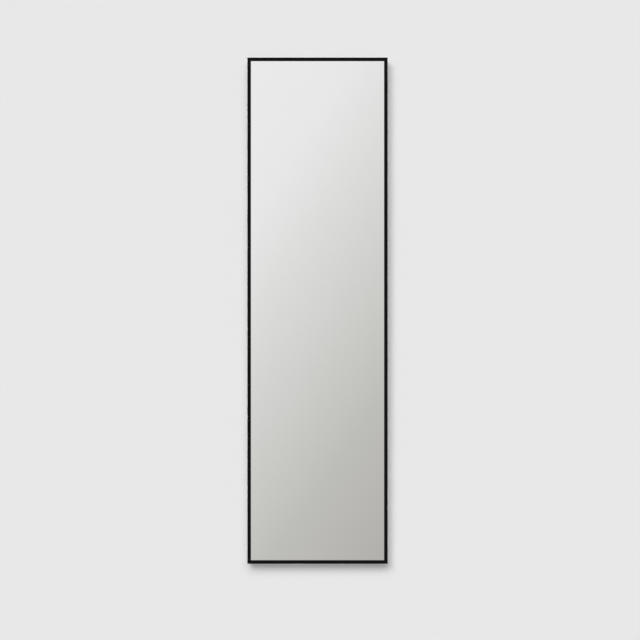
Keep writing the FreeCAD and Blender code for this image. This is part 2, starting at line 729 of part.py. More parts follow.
def leaf_plate(x0, depths, hinge_z, corner):
    """The flat of a hinge leaf from x0 to the pin, its far corners rounded."""
    half = HINGE_HEIGHT / 2
    outline = [
        (x0, hinge_z + half, corner),
        (x0, hinge_z - half, corner),
        (HINGE_X, hinge_z - half, 0),
        (HINGE_X, hinge_z + half, 0),
    ]
    return prism(outline, lambda x, z: at(x, depths[1], z), Y_AXIS * (depths[1] - depths[0]))


def leaf_notch(hinge_z, low, high):
    """The cutter that clears a leaf's flat around the other leaf's knuckle."""
    x0 = HINGE_X - BARREL_RADIUS - LEAF_NOTCH
    return slab((x0, HALF_WIDTH), (0, MIRROR_FRONT), (hinge_z + low, hinge_z + high))


def carriage_leaf(hinge_z):
    """The leaf behind the front upright, with the two outer knuckles."""
    half = HINGE_HEIGHT / 2
    near = MIRROR_KNUCKLE / 2 + KNUCKLE_GAP
    flat = leaf_plate(UPRIGHT_FRONT_X + 2, (CARRIAGE_DEPTH - LEAF_THICKNESS, CARRIAGE_DEPTH), hinge_z, 3.0)
    leaf = fused([flat, knuckle(hinge_z, near, half), knuckle(hinge_z, -half, -near)])
    holes = [level_rod(THREAD_HOLE_RADIUS, x, z, (0, MIRROR_BACK)) for x, z in carriage_leaf_screw_spots()]
    bore = hinge_bore(hinge_z, PIN_RADIUS + FIXED_CLEARANCE)
    return leaf.cut([leaf_notch(hinge_z, -near, near), bore] + holes)


def mirror_leaf(hinge_z):
    """The leaf on the back of the mirror frame, with the middle knuckle."""
    near = MIRROR_KNUCKLE / 2
    far = HINGE_HEIGHT / 2 + 1
    back = MIRROR_BACK - LEAF_THICKNESS
    flat = leaf_plate(MIRROR_LEAF_X, (back, MIRROR_BACK), hinge_z, 2.5)
    flat = flat.cut([leaf_notch(hinge_z, near, far), leaf_notch(hinge_z, -far, -near)])
    leaf = fused([flat, knuckle(hinge_z, -near, near)])
    cutters = [hinge_bore(hinge_z, PIN_RADIUS + RUNNING_CLEARANCE)]
    for x, z in mirror_leaf_screw_spots(hinge_z):
        cutters.append(level_rod(SCREW_HOLE_RADIUS, x, z, (back - 1, MIRROR_BACK + 1)))
        cutters.append(countersink(x, z, back, MIRROR_BACK))
    return leaf.cut(cutters)


def hinge_pin(hinge_z):
    """A headed pin, threaded at its upper end for the friction nut."""
    seat = hinge_z - HINGE_HEIGHT / 2
    top = hinge_z + HINGE_HEIGHT / 2 + SPRING_STACK + NUT_HEIGHT + 1.2
    head = upright_rod(BARREL_RADIUS - 0.3, HINGE_X, HINGE_DEPTH, (seat - PIN_HEAD_HEIGHT, seat))
    head = head.makeChamfer(0.5, [e for e in head.Edges if e.Closed])
    shank = upright_rod(PIN_RADIUS, HINGE_X, HINGE_DEPTH, (seat - 1, top))
    shank = shank.makeChamfer(0.6, ends_above(shank, hinge_z))
    return fused([head, shank])


def thrust_washers():
    """Plastic washers between the knuckles."""
    play = (KNUCKLE_GAP - WASHER_THICKNESS) / 2
    half = MIRROR_KNUCKLE / 2
    made = []
    for hinge_z in HINGE_HEIGHTS:
        bore = hinge_bore(hinge_z, PIN_RADIUS + RUNNING_CLEARANCE)
        for gap_z in (half, -half - KNUCKLE_GAP):
            z0 = hinge_z + gap_z + play
            disc = upright_rod(BARREL_RADIUS - 0.2, HINGE_X, HINGE_DEPTH, (z0, z0 + WASHER_THICKNESS))
            made.append(disc.cut(bore))
    return Part.makeCompound(made)


def disc_springs():
    """Two conical spring washers, back to back, under each nut. They set the hinge's friction."""
    made = []
    inner = HINGE_X + PIN_RADIUS + FIXED_CLEARANCE
    outer = HINGE_X + SPRING_RADIUS
    for hinge_z in HINGE_HEIGHTS:
        low = hinge_z + HINGE_HEIGHT / 2
        high = low + SPRING_STACK
        for seat, rise in ((low, 1), (high, -1)):
            profile = [
                at(inner, HINGE_DEPTH, seat + rise * SPRING_CONE),
                at(outer, HINGE_DEPTH, seat),
                at(outer, HINGE_DEPTH, seat + rise * SPRING_THICKNESS),
                at(inner, HINGE_DEPTH, seat + rise * (SPRING_CONE + SPRING_THICKNESS)),
            ]
            section = Part.Face(Part.makePolygon(profile + profile[:1]))
            made.append(section.revolve(at(HINGE_X, HINGE_DEPTH, 0), Z_AXIS, 360))
    return Part.makeCompound(made)


def hinge_nut(low):
    """A lock nut that stands on the height low: a hexagon with a round collar."""
    radius = NUT_ACROSS_FLATS / 2 / math.cos(math.radians(30))
    shoulder = low + NUT_HEIGHT - NUT_COLLAR_HEIGHT
    top = low + NUT_HEIGHT
    flats = prism(hexagon(radius), lambda a, b: at(HINGE_X + a, HINGE_DEPTH + b, low), Z_AXIS * NUT_HEIGHT)
    turned = upright_rod(radius, HINGE_X, HINGE_DEPTH, (low, shoulder))
    turned = turned.makeChamfer(0.4, [e for e in turned.Edges if e.Closed])
    collar = upright_rod(NUT_ACROSS_FLATS / 2 - 0.4, HINGE_X, HINGE_DEPTH, (shoulder, top))
    collar = collar.makeFillet(0.5, ends_above(collar, shoulder + 0.1))
    bore = upright_rod(PIN_RADIUS + FIXED_CLEARANCE, HINGE_X, HINGE_DEPTH, (low - 1, top + 1))
    return fused([flats.common(turned), collar]).cut(bore)


def nut_plate(hinge_z):
    """A tapped plate inside the frame that takes one mirror leaf's screws."""
    back = MIRROR_BACK + REAR_FLANGE_THICKNESS
    front = back + NUT_PLATE_THICKNESS
    spots = mirror_leaf_screw_spots(hinge_z)
    flat = plate((spots[0][0], hinge_z), (10.0, HINGE_HEIGHT - 2), (back, front))
    return flat.cut([level_rod(THREAD_HOLE_RADIUS, x, z, (back - 1, front + 1)) for x, z in spots])


# ---------------------------------------------------------------- catches and rests

def catch_housing(catch_z):
    """A plastic block in the rear upright, with a pocket for the magnet."""
    centre = (CATCH_X, catch_z)
    block = plate(centre, (CATCH_WIDTH, CATCH_HEIGHT), (UPRIGHT_WEB_FRONT, CATCH_FRONT), 2.0)
    block = block.makeChamfer(0.5, rim_at(block, CATCH_FRONT))
    width, height, depth = MAGNET_SIZE
    cutters = [plate(centre, (width + 0.2, height + 0.2), (CATCH_FRONT - depth, CATCH_FRONT + 1))]
    for x, z in catch_screw_spots():
        cutters.append(level_rod(CATCH_SCREW_RADIUS + 0.2, x, z, (CARRIAGE_DEPTH, CATCH_FRONT + 1)))
        cutters.append(
            countersink(x, z, CATCH_FRONT, CATCH_FRONT - CATCH_CONE, CATCH_SCREW_RADIUS, CATCH_HEAD_RADIUS))
    return block.cut(cutters)


def catch_screw(x, z):
    """A countersunk screw that holds a magnet housing."""
    inner = CATCH_FRONT - CATCH_CONE
    return flat_screw(x, z, CATCH_FRONT, inner, CARRIAGE_DEPTH - 0.6, CATCH_SCREW_RADIUS, CATCH_HEAD_RADIUS)


def magnet(catch_z):
    """A block magnet, level with the face of its housing."""
    width, height, depth = MAGNET_SIZE
    return plate((CATCH_X, catch_z), (width, height), (CATCH_FRONT - depth, CATCH_FRONT))


def strike_plate(catch_z):
    """A steel plate bonded to the frame, facing a magnet."""
    return plate((CATCH_X, catch_z), STRIKE_SIZE, (MIRROR_BACK - STRIKE_THICKNESS, MIRROR_BACK), 2.0)


def rest_pad(z):
    """A rubber block that the closed mirror rests on."""
    front = MIRROR_BACK - REST_GAP
    pad = plate((CATCH_X, z), REST_SIZE, (UPRIGHT_WEB_FRONT, front), 3.0)
    return pad.makeFillet(1.0, rim_at(pad, front))


# ---------------------------------------------------------------- the whole mirror

def all_parts():
    """Every sub-part by name."""
    parts = {
        "rail_front": panel_rail(PANEL_HOLE_SPACING_X / 2),
        "rail_rear": panel_rail(-PANEL_HOLE_SPACING_X / 2),
    }
    for name, side in SIDES.items():
        slide_z = side * SLIDE_SPACING / 2
        hinge_z = side * HINGE_SPACING / 2
        outer, middle, inner = slide_members(slide_z)
        parts[f"slide_outer_{name}"] = outer
        parts[f"slide_middle_{name}"] = middle
        parts[f"slide_inner_{name}"] = inner
        parts[f"slide_stop_{name}"] = slide_stop(slide_z)
        for stage in BALL_DEPTHS:
            cage, balls = cage_and_balls(stage, slide_z)
            parts[f"{stage}_cage_{name}"] = cage
            parts[f"{stage}_balls_{name}"] = balls
        parts[f"carriage_leaf_{name}"] = carriage_leaf(hinge_z)
        parts[f"mirror_leaf_{name}"] = mirror_leaf(hinge_z)
        parts[f"hinge_pin_{name}"] = hinge_pin(hinge_z)
        parts[f"catch_housing_{name}"] = catch_housing(side * CATCH_SPACING / 2)
        for end, side_x in (("front", 1), ("rear", -1)):
            parts[f"corner_key_{name}_{end}"] = corner_key(side_x, side)
    parts.update(uprights())
    parts.update(frame_members())
    parts.update(mirror_layers())
    parts.update(gaskets())
    groups = {
        "slide_rivets": [rivet(x, z) for x, z in rivet_spots()],
        "carriage_screws": [
            pan_screw(x, z, UPRIGHT_WEB_FRONT, CARRIAGE_DEPTH - SLIDE_SHEET - 1)
            for x, z in carriage_screw_spots()],
        "carriage_leaf_screws": [
            pan_screw(x, z, UPRIGHT_WEB_FRONT, CARRIAGE_DEPTH - LEAF_THICKNESS - 1)
            for x, z in carriage_leaf_screw_spots()],
        "mirror_leaf_screws": [
            flat_screw(x, z, MIRROR_BACK - LEAF_THICKNESS, MIRROR_BACK, MIRROR_BACK + 5.2)
            for hinge_z in HINGE_HEIGHTS
            for x, z in mirror_leaf_screw_spots(hinge_z)],
        "corner_screws": [grub_screw(x, z) for x, z in all_key_screw_spots()],
        "catch_screws": [catch_screw(x, z) for x, z in catch_screw_spots()],
        "nut_plates": [nut_plate(z) for z in HINGE_HEIGHTS],
        "hinge_nuts": [hinge_nut(z + HINGE_HEIGHT / 2 + SPRING_STACK) for z in HINGE_HEIGHTS],
        "magnets": [magnet(z) for z in CATCH_HEIGHTS],
        "strike_plates": [strike_plate(z) for z in CATCH_HEIGHTS],
        "rest_pads": [rest_pad(side * REST_SPACING / 2) for side in SIDES.values()],
    }
    parts.update({name: Part.makeCompound(pieces) for name, pieces in groups.items()})
    parts["upright_end_caps"] = end_caps()
    parts["thrust_washers"] = thrust_washers()
    parts["disc_springs"] = disc_springs()
    return parts


def main():
    os.makedirs("parts", exist_ok=True)
    for name, shape in all_parts().items():
        shape.exportStep(f"parts/{name}.step")
        print(f"{name:24s} {len(shape.Solids):3d} solids, valid {shape.isValid()}, {shape.Volume:12.1f} mm3")


main()
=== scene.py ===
import math

import bpy
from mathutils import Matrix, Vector


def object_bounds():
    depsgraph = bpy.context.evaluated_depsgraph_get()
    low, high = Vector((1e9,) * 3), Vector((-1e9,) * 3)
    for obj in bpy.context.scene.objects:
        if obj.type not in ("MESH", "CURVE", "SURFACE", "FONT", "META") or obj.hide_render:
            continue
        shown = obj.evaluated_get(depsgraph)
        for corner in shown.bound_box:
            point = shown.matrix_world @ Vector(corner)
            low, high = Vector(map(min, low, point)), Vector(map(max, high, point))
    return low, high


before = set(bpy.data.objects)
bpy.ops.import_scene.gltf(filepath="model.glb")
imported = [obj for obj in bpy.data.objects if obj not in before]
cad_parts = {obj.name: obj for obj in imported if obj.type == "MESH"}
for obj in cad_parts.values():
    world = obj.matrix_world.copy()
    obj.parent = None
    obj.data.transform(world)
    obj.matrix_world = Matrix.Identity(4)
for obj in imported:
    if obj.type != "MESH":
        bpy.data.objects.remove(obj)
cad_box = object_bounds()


# ---------------------------------------------------------------- panel rails
# Two flat bars of 2 mm steel, drilled and screwed to the side panel. They are powder coated
# black: an even, slightly pebbled skin that goes a little shiny where it is handled and is
# thinnest on the cut edges.

def put(tree, kind, options=(), sockets=()):
    """Adds a node, sets its options, and links or sets its sockets by name or number."""
    made = tree.nodes.new("ShaderNode" + kind)
    for name, value in dict(options).items():
        setattr(made, name, value)
    for name, value in dict(sockets).items():
        if isinstance(value, bpy.types.NodeSocket):
            tree.links.new(value, made.inputs[name])
        else:
            made.inputs[name].default_value = value
    return made


def math_node(tree, operation, *values):
    """The result of a Math node."""
    return put(tree, "Math", {"operation": operation}, enumerate(values)).outputs[0]


def along(tree, direction, axis):
    """How far a direction goes along an axis."""
    return put(tree, "VectorMath", {"operation": "DOT_PRODUCT"}, {0: direction, 1: axis}).outputs["Value"]


def ramp(tree, value, low, high, to_low=0.0, to_high=1.0):
    """Maps value smoothly from low..high to to_low..to_high, and holds it beyond the ends."""
    return put(tree, "MapRange", {"interpolation_type": "SMOOTHSTEP"}, {
        "Value": value, "From Min": low, "From Max": high, "To Min": to_low, "To Max": to_high,
    }).outputs["Result"]


def spread(tree, value, to_low=0.0, to_high=1.0):
    """Maps a noise, whose values lie mostly between 0.3 and 0.7, to to_low..to_high."""
    return ramp(tree, value, 0.3, 0.7, to_low, to_high)


MASK, FIRST, SECOND, RESULT = 0, 6, 7, 2         # a Mix node's sockets for colours


def mixed(tree, mask, first, second):
    """A colour between first and second."""
    sockets = {MASK: mask}
    for number, colour in ((FIRST, first), (SECOND, second)):
        sockets[number] = colour if isinstance(colour, bpy.types.NodeSocket) else (*colour, 1.0)
    return put(tree, "Mix", {"data_type": "RGBA"}, sockets).outputs[RESULT]


def noise(tree, where, scale, detail=2.0, roughness=0.5):
    """A noise value, scale in cells per metre."""
    return put(tree, "TexNoise", (), {
        "Vector": where, "Scale": scale, "Detail": detail, "Roughness": roughness,
    }).outputs["Fac"]


def effect(name, inputs, outputs):
    """An empty group for an effect of several materials: its tree, its inputs and its outputs by name."""
    tree = bpy.data.node_groups.new(name, "ShaderNodeTree")
    for label, (kind, value) in inputs.items():
        given = tree.interface.new_socket(label, in_out="INPUT", socket_type="NodeSocket" + kind)
        given.default_value = value
    for label, kind in outputs.items():
        tree.interface.new_socket(label, in_out="OUTPUT", socket_type="NodeSocket" + kind)
    entry = tree.nodes.new("NodeGroupInput")
    leave = tree.nodes.new("NodeGroupOutput")
    return tree, entry.outputs, leave.inputs


def use(tree, group, **values):
    """Places an effect in a material, its inputs given by name, and returns its outputs."""
    sockets = {name.replace("_", " "): value for name, value in values.items()}
    return put(tree, "Group", {"node_tree": group}, sockets).outputs


def finish_for(name):
    """A new material, its tree and its Principled BSDF."""
    made = bpy.data.materials.new(name)
    made.use_nodes = True
    return made, made.node_tree, made.node_tree.nodes["Principled BSDF"]


def drive(tree, shader, **sockets):
    """Links sockets of a shader by name."""
    for name, value in sockets.items():
        tree.links.new(value, shader.inputs[name.replace("_", " ")])


def relief(tree, shader, height, depth, under=None):
    """Raises the surface by height times depth in metres, on top of another normal if one is given."""
    sockets = {"Height": height, "Strength": 1.0, "Distance": depth}
    if under is not None:
        sockets["Normal"] = under
    tree.links.new(put(tree, "Bump", (), sockets).outputs["Normal"], shader.inputs["Normal"])


def dress(finish, *nodes):
    """Gives CAD nodes a finish."""
    for name in nodes:
        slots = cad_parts[name].data.materials
        slots.clear()
        slots.append(finish)


# Grain: fine pebbles, and a broader and softer unevenness.
grain, given, gives = effect(
    "grain", {"Pebbles per metre": ("Float", 1500.0), "Blotches per metre": ("Float", 25.0)},
    {"Height": "Float", "Blotch": "Float"})
spot = put(grain, "TexCoord").outputs["Object"]
grain.links.new(noise(grain, spot, given["Pebbles per metre"], detail=3.0), gives["Height"])
grain.links.new(noise(grain, spot, given["Blotches per metre"], detail=4.0, roughness=0.6), gives["Blotch"])

# Edges: a softened normal round sharp edges, and a mask that is 1 on them, broken up by noise.
edges, given, gives = effect(
    "edges", {"Width": ("Float", 0.0004)}, {"Mask": "Float", "Normal": "Vector"})
SAME_WAY, TURNED = 0.995, 0.86          # how well the two normals agree on a flat face and on an edge
WEAR_PER_METRE = 160.0
round_edge = put(edges, "Bevel", {"samples": 4}, {"Radius": given["Width"]}).outputs["Normal"]
flat_face = put(edges, "NewGeometry").outputs["Normal"]
on_edge = ramp(edges, along(edges, round_edge, flat_face), SAME_WAY, TURNED)
spot = put(edges, "TexCoord").outputs["Object"]
worn_off = spread(edges, noise(edges, spot, WEAR_PER_METRE, detail=4.0, roughness=0.7))
edges.links.new(math_node(edges, "MULTIPLY", on_edge, worn_off), gives["Mask"])
edges.links.new(round_edge, gives["Normal"])

# Dust: what settles on faces that look upwards, in soft patches of fine specks.
dust, given, gives = effect("dust", {"Amount": ("Float", 0.3)}, {"Mask": "Float"})
STEEP, LEVEL = 0.25, 0.95               # how far up a face looks that holds no dust, and one that holds most
PATCHES_PER_METRE, SPECKS_PER_METRE = 60.0, 2600.0
coordinates = put(dust, "TexCoord").outputs
settles = ramp(dust, along(dust, coordinates["Normal"], (0.0, 0.0, 1.0)), STEEP, LEVEL)
patches = spread(dust, noise(dust, coordinates["Object"], PATCHES_PER_METRE, detail=5.0, roughness=0.65))
specks = spread(dust, noise(dust, coordinates["Object"], SPECKS_PER_METRE, detail=1.0))
settled = math_node(dust, "MULTIPLY", settles, math_node(dust, "MULTIPLY", patches, specks))
dust.links.new(math_node(dust, "MULTIPLY", settled, given["Amount"]), gives["Mask"])


def skin_finish(name, pebbles, blotches, tones, rough, bumps, worn=None, lint=None, toned_by="Blotch",
                matted_by="Blotch"):
    """A coated, moulded or cast skin.

    Pebbles and blotches are per metre, tones are its two colours, rough is its least and most roughness, and
    bumps is the pebbles' height in metres. Worn is the width and colour of rubbed edges, and lint the amount
    and colour of dust. Toned_by and matted_by name what the colour and the roughness follow in the grain.
    """
    made, tree, shader = finish_for(name)
    skin = use(tree, grain, Pebbles_per_metre=pebbles, Blotches_per_metre=blotches)
    colour = mixed(tree, spread(tree, skin[toned_by]), *tones)
    rounded = None
    if worn:
        rim = use(tree, edges, Width=worn[0])
        colour = mixed(tree, rim["Mask"], colour, worn[1])
        rounded = rim["Normal"]
    if lint:
        colour = mixed(tree, use(tree, dust, Amount=lint[0])["Mask"], colour, lint[1])
    drive(tree, shader, Base_Color=colour, Roughness=spread(tree, skin[matted_by], *rough))
    relief(tree, shader, skin["Height"], bumps, rounded)
    return made


powder_black = skin_finish(
    "powder_coated_black_steel", pebbles=1400.0, blotches=18.0, bumps=0.00006,
    tones=((0.011, 0.011, 0.012), (0.019, 0.019, 0.020)), rough=(0.42, 0.58),
    worn=(0.0005, (0.05, 0.05, 0.052)), lint=(0.35, (0.28, 0.27, 0.25)))
dress(powder_black, "rail_front", "rail_rear")


# ---------------------------------------------------------------- telescopic slides
# Three members roll-formed from 1.2 mm steel strip nest in each slide, the outer one riveted to
# the rails. Bright zinc plate with a pale blue cast, fine lines drawn along the strip, and
# duller streaks where the plating bath ran off.

def scaled(tree, vector, factors):
    """A vector with each axis multiplied by its factor."""
    return put(tree, "VectorMath", {"operation": "MULTIPLY"}, {0: vector, 1: factors}).outputs["Vector"]


# Drawn lines: fine scratches along the axis whose factor in Stretch is small.
drawn_lines, given, gives = effect(
    "drawn lines", {"Stretch": ("Vector", (0.01, 1.0, 1.0)), "Lines per metre": ("Float", 3000.0)},
    {"Lines": "Float", "Streaks": "Float"})
STREAKS_PER_LINE = 0.12
spot = scaled(drawn_lines, put(drawn_lines, "TexCoord").outputs["Object"], given["Stretch"])
broad = math_node(drawn_lines, "MULTIPLY", given["Lines per metre"], STREAKS_PER_LINE)
drawn_lines.links.new(noise(drawn_lines, spot, given["Lines per metre"], detail=2.0), gives["Lines"])
drawn_lines.links.new(noise(drawn_lines, spot, broad, detail=3.0), gives["Streaks"])


def set_plain(finish, **sockets):
    """Sets sockets that are the same all over a finish."""
    shader = finish.node_tree.nodes["Principled BSDF"]
    for name, value in sockets.items():
        shader.inputs[name.replace("_", " ")].default_value = value


def zinc_plate(name, stretch, pale, deep, smooth):
    """Bright zinc on steel, with lines drawn the way stretch says. Smooth is its least roughness."""
    dulled, rubbed, lint = (0.46, 0.45, 0.43), (0.82, 0.82, 0.82), (0.50, 0.48, 0.45)
    bare, streaked, most_dulled = 0.45, 0.75, 0.35
    in_blotches, in_lines = 0.07, 0.12      # how much roughness each adds
    made, tree, shader = finish_for(name)
    lines = use(tree, drawn_lines, Stretch=stretch, Lines_per_metre=2800.0)
    skin = use(tree, grain, Blotches_per_metre=24.0)
    rim = use(tree, edges, Width=0.0003)
    colour = mixed(tree, spread(tree, skin["Blotch"]), deep, pale)
    colour = mixed(tree, ramp(tree, lines["Streaks"], bare, streaked, 0.0, most_dulled), colour, dulled)
    colour = mixed(tree, rim["Mask"], colour, rubbed)
    colour = mixed(tree, use(tree, dust, Amount=0.25)["Mask"], colour, lint)
    uneven = math_node(tree, "ADD", spread(tree, lines["Lines"], 0.0, in_lines),
                       spread(tree, skin["Blotch"], smooth, smooth + in_blotches))
    drive(tree, shader, Base_Color=colour, Roughness=uneven)
    relief(tree, shader, lines["Lines"], depth=0.000012, under=rim["Normal"])
    set_plain(made, Metallic=1.0)
    return made


zinc_strip = zinc_plate(
    "zinc_plated_strip", stretch=(0.012, 1.0, 1.0), pale=(0.66, 0.68, 0.71), deep=(0.57, 0.60, 0.64),
    smooth=0.28)
for side in ("upper", "lower"):
    dress(zinc_strip, f"slide_outer_{side}", f"slide_middle_{side}", f"slide_inner_{side}")


# ---------------------------------------------------------------- ball cages, balls and rivets
# Thin pressed steel cages space the hardened balls, which are polished bright under a film of
# grease. Rivets close the outer members onto the rails, and like every plated screw, pin and
# nut of the part they have a bluish zinc finish.

cage_strip = zinc_plate(
    "pressed_cage_steel", stretch=(0.03, 1.0, 1.0), pale=(0.60, 0.58, 0.54), deep=(0.48, 0.46, 0.43),
    smooth=0.32)
zinc_parts = zinc_plate(
    "zinc_plated_fastenings", stretch=(1.0, 1.0, 0.25), pale=(0.68, 0.69, 0.71), deep=(0.50, 0.54, 0.60),
    smooth=0.22)

ball_steel, tree, shader = finish_for("polished_ball_steel")
film = use(tree, grain, Blotches_per_metre=260.0)["Blotch"]
drive(tree, shader, Base_Color=mixed(tree, spread(tree, film), (0.80, 0.80, 0.81), (0.62, 0.60, 0.55)),
      Roughness=spread(tree, film, 0.06, 0.22))
set_plain(ball_steel, Metallic=1.0)

for side in ("upper", "lower"):
    dress(cage_strip, f"outer_cage_{side}", f"inner_cage_{side}")
    dress(ball_steel, f"outer_balls_{side}", f"inner_balls_{side}")
dress(zinc_parts, "slide_rivets")


# ---------------------------------------------------------------- rear stops and end caps
# Injection moulded black nylon: a stop pressed onto two studs at the back of each slide, and a
# cap in each open end of the uprights. Fine spark-eroded texture, with paler scuffs on corners.

black_nylon = skin_finish(
    "moulded_black_nylon", pebbles=4200.0, blotches=70.0, bumps=0.00003,
    tones=((0.014, 0.014, 0.015), (0.024, 0.024, 0.025)), rough=(0.40, 0.55),
    worn=(0.0003, (0.07, 0.07, 0.07)), lint=(0.4, (0.30, 0.29, 0.27)))
dress(black_nylon, "slide_stop_upper", "slide_stop_lower", "upright_end_caps")


# ---------------------------------------------------------------- carriage
# Two uprights of folded 1.5 mm steel join the slides into one carriage. They are coated like the
# rails, and zinc-plated pan-head screws clamp them to the inner members and the hinge leaves.

dress(powder_black, "upright_front", "upright_rear", "carriage_leaf_upper", "carriage_leaf_lower")
dress(zinc_parts, "carriage_screws", "carriage_leaf_screws")


# ---------------------------------------------------------------- hinges
# Each hinge turns on a headed steel pin. White acetal washers keep the knuckles apart, and two
# conical springs under a lock nut set how stiffly the mirror swings. The mirror leaf's screws go
# into a tapped plate inside the frame.

acetal = skin_finish(
    "white_acetal", pebbles=5200.0, blotches=180.0, bumps=0.00001,
    tones=((0.72, 0.72, 0.69), (0.80, 0.80, 0.78)), rough=(0.30, 0.42), lint=(0.3, (0.45, 0.44, 0.42)))
set_plain(acetal, Subsurface_Weight=0.1, Subsurface_Radius=(0.002, 0.0018, 0.0015))

dress(powder_black, "mirror_leaf_upper", "mirror_leaf_lower")
dress(zinc_parts, "hinge_pin_upper", "hinge_pin_lower", "disc_springs", "hinge_nuts")
dress(zinc_parts, "mirror_leaf_screws", "nut_plates")
dress(acetal, "thrust_washers")


# ---------------------------------------------------------------- catches and rests
# Ferrite magnets sit in nylon housings on the rear upright and hold the closed mirror by two
# zinc-plated plates. Two moulded rubber blocks take up the last of the gap.

ferrite = skin_finish(
    "sintered_ferrite", pebbles=3600.0, blotches=240.0, bumps=0.00005, toned_by="Height",
    tones=((0.055, 0.056, 0.060), (0.105, 0.105, 0.110)), rough=(0.50, 0.68),
    worn=(0.0004, (0.17, 0.17, 0.175)), lint=(0.35, (0.30, 0.29, 0.27)))
black_rubber = skin_finish(
    "black_rubber", pebbles=2600.0, blotches=90.0, bumps=0.00003,
    tones=((0.012, 0.012, 0.012), (0.030, 0.030, 0.029)), rough=(0.68, 0.86), lint=(0.6, (0.30, 0.29, 0.27)))
set_plain(black_rubber, Sheen_Weight=0.15)

dress(black_nylon, "catch_housing_upper", "catch_housing_lower")
dress(ferrite, "magnets")
dress(zinc_parts, "catch_screws", "strike_plates")
dress(black_rubber, "rest_pads")


# ---------------------------------------------------------------- mirror frame
# Four bars of extruded aluminium, mitred at the corners and anodised satin black. The faint die
# lines run along each bar, so they change direction at the mitres.

def anodised(name, stretch):
    """Satin black anodised aluminium, with die lines the way stretch says."""
    deep, pale = (0.0024, 0.0024, 0.0026), (0.0042, 0.0042, 0.0045)
    rubbed, lint = (0.016, 0.016, 0.017), (0.16, 0.155, 0.15)
    made, tree, shader = finish_for(name)
    lines = use(tree, drawn_lines, Stretch=stretch, Lines_per_metre=2200.0)
    skin = use(tree, grain, Blotches_per_metre=12.0)
    rim = use(tree, edges, Width=0.0004)
    colour = mixed(tree, spread(tree, lines["Streaks"]), deep, pale)
    colour = mixed(tree, rim["Mask"], colour, rubbed)
    colour = mixed(tree, use(tree, dust, Amount=0.12)["Mask"], colour, lint)
    uneven = math_node(tree, "ADD", spread(tree, lines["Lines"], 0.0, 0.10),
                       spread(tree, skin["Blotch"], 0.34, 0.42))
    drive(tree, shader, Base_Color=colour, Roughness=uneven)
    relief(tree, shader, lines["Lines"], depth=0.000010, under=rim["Normal"])
    set_plain(made, Specular_IOR_Level=0.08)
    return made


ALONG_Z, ALONG_X = (1.0, 1.0, 0.008), (0.008, 1.0, 1.0)
dress(anodised("black_anodised_upright_bar", ALONG_Z), "frame_front_side", "frame_rear_side")
dress(anodised("black_anodised_cross_bar", ALONG_X), "frame_top", "frame_bottom")


# ---------------------------------------------------------------- corner keys
# Die-cast aluminium L keys fill the channel of two bars at each corner, and plated grub screws
# through the rear flange lock them. Cast skin: matt, with faint flow marks.

cast_aluminium = skin_finish(
    "die_cast_aluminium", pebbles=1900.0, blotches=75.0, bumps=0.00004, matted_by="Height",
    tones=((0.56, 0.56, 0.57), (0.70, 0.70, 0.71)), rough=(0.42, 0.60), worn=(0.0003, (0.82, 0.82, 0.82)))
set_plain(cast_aluminium, Metallic=1.0)

for side in ("upper", "lower"):
    dress(cast_aluminium, f"corner_key_{side}_front", f"corner_key_{side}_rear")
dress(zinc_parts, "corner_screws")


# ---------------------------------------------------------------- mirror glass
# A pane of 4 mm float glass, silvered on the back under grey protective paint, with a fine
# ground chamfer round both faces. The ground edge shows the green of the glass.

SIDEWAYS, SQUARE_ON = 0.90, 0.97        # how squarely the edge and the faces look forwards or back
silver_tones = (0.905, 0.912, 0.905), (0.912, 0.918, 0.912)
paint_tones = (0.19, 0.20, 0.22), (0.25, 0.26, 0.28)
ground_tones = (0.20, 0.33, 0.28), (0.30, 0.44, 0.38)

mirror_glass, tree, shader = finish_for("silvered_glass")
backwards = along(tree, put(tree, "TexCoord").outputs["Normal"], (0.0, 1.0, 0.0))
silver = ramp(tree, backwards, -SIDEWAYS, -SQUARE_ON)
paint = ramp(tree, backwards, SIDEWAYS, SQUARE_ON)
skin = use(tree, grain, Pebbles_per_metre=1300.0, Blotches_per_metre=7.0)
sides = mixed(tree, paint, mixed(tree, spread(tree, skin["Height"]), *ground_tones),
              mixed(tree, spread(tree, skin["Blotch"]), *paint_tones))
bright = mixed(tree, spread(tree, skin["Blotch"]), *silver_tones)
matt = math_node(tree, "MULTIPLY", spread(tree, skin["Height"], 0.48, 0.56),
                 math_node(tree, "SUBTRACT", 1.0, silver))
drive(tree, shader, Base_Color=mixed(tree, silver, sides, bright), Roughness=matt)
set_plain(mirror_glass, Metallic=1.0)
dress(mirror_glass, "mirror_glass")


# ---------------------------------------------------------------- gaskets, film, tape and board
# Behind the front lip a rubber strip cushions the glass. A film holds the pieces if the glass
# breaks, foam tape bonds it to the hardboard back, and the board's rear face keeps the mesh
# print of the press.

dress(black_rubber, "gasket_front", "gasket_rear", "gasket_top", "gasket_bottom")

# Crossed threads: waves along X and along Z, their higher one and their product.
crossed, given, gives = effect(
    "crossed threads", {"Scale": ("Float", 150.0), "Waviness": ("Float", 0.5), "Detail": ("Float", 1.0)},
    {"Higher": "Float", "Product": "Float"})
spot = put(crossed, "TexCoord").outputs["Object"]
waves = [put(crossed, "TexWave", {"bands_direction": axis, "wave_profile": "SIN"}, {
    "Vector": spot, "Scale": given["Scale"], "Distortion": given["Waviness"], "Detail": given["Detail"],
}).outputs["Fac"] for axis in ("X", "Z")]
crossed.links.new(math_node(crossed, "MAXIMUM", *waves), gives["Higher"])
crossed.links.new(math_node(crossed, "MULTIPLY", *waves), gives["Product"])

